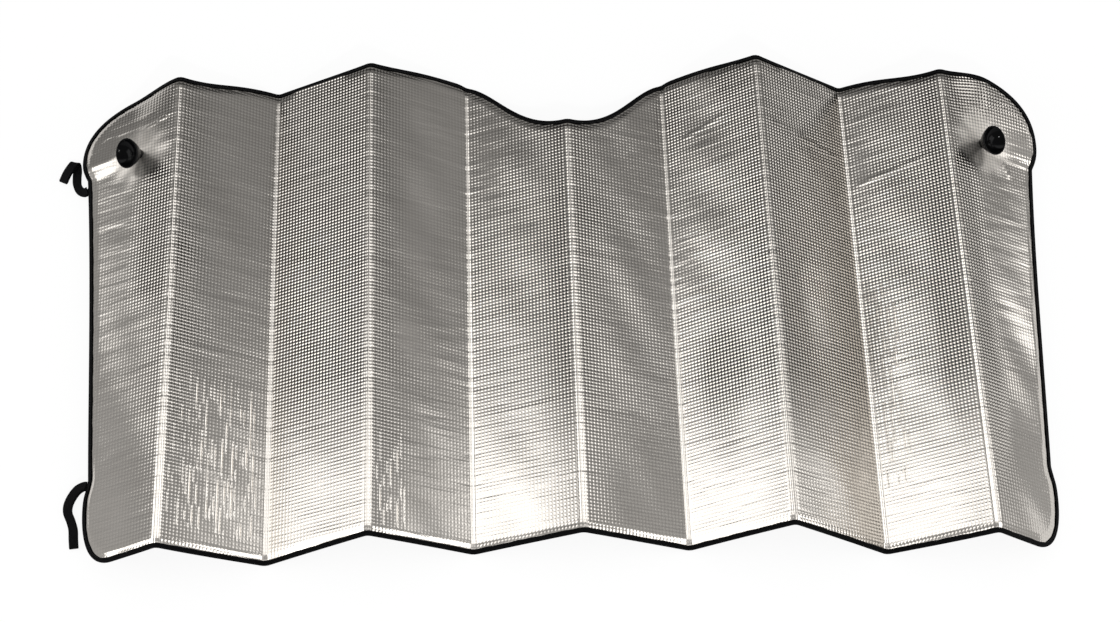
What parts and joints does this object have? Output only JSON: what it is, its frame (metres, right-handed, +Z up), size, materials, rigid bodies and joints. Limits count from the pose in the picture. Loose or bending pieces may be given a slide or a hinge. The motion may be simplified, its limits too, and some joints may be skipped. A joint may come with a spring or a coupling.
{
  "type": "windscreen sunshade",
  "caption": "Folding windscreen sunshade of reflective bubble foil with a black tape edge, mirror notch, suction cups and elastic ties.",
  "frame": {"origin": "middle of the area that the shade rests on, at the level of the surface under it", "axes": "+X along the shade from the tie end to the other end, +Y from the lower edge to the edge with the mirror notch, +Z up, out of the foil face that carries the cups"},
  "size_m": [1.1653, 0.6296, 0.0782],
  "materials": {
    "foil": "metallised film over bubble sheet, embossed with a fine square grid, lightly wrinkled",
    "tape": "woven polyester binding tape, lockstitched",
    "cup_rubber": "glossy moulded soft vinyl",
    "elastic": "flat woven elastic"
  },
  "bodies": {
    "shade": {"foil_sheet": "foil", "edge_binding": "tape", "elastic_tie_upper": "elastic", "elastic_tie_lower": "elastic"},
    "cup_left": {"suction_cup_left": "cup_rubber"},
    "cup_right": {"suction_cup_right": "cup_rubber"}
  },
  "joints": [
    {"name": "cup_left_swivel", "type": "hinge", "parent": "shade", "child": "cup_left", "pos_m": [-0.49379, 0.19401, 0.04828], "axis": [-0.6073, -0.3988, 0.6871], "continuous": true},
    {"name": "cup_right_swivel", "type": "hinge", "parent": "shade", "child": "cup_right", "pos_m": [0.49354, 0.19401, 0.04779], "axis": [0.511, -0.3177, 0.7987], "continuous": true}
  ]
}
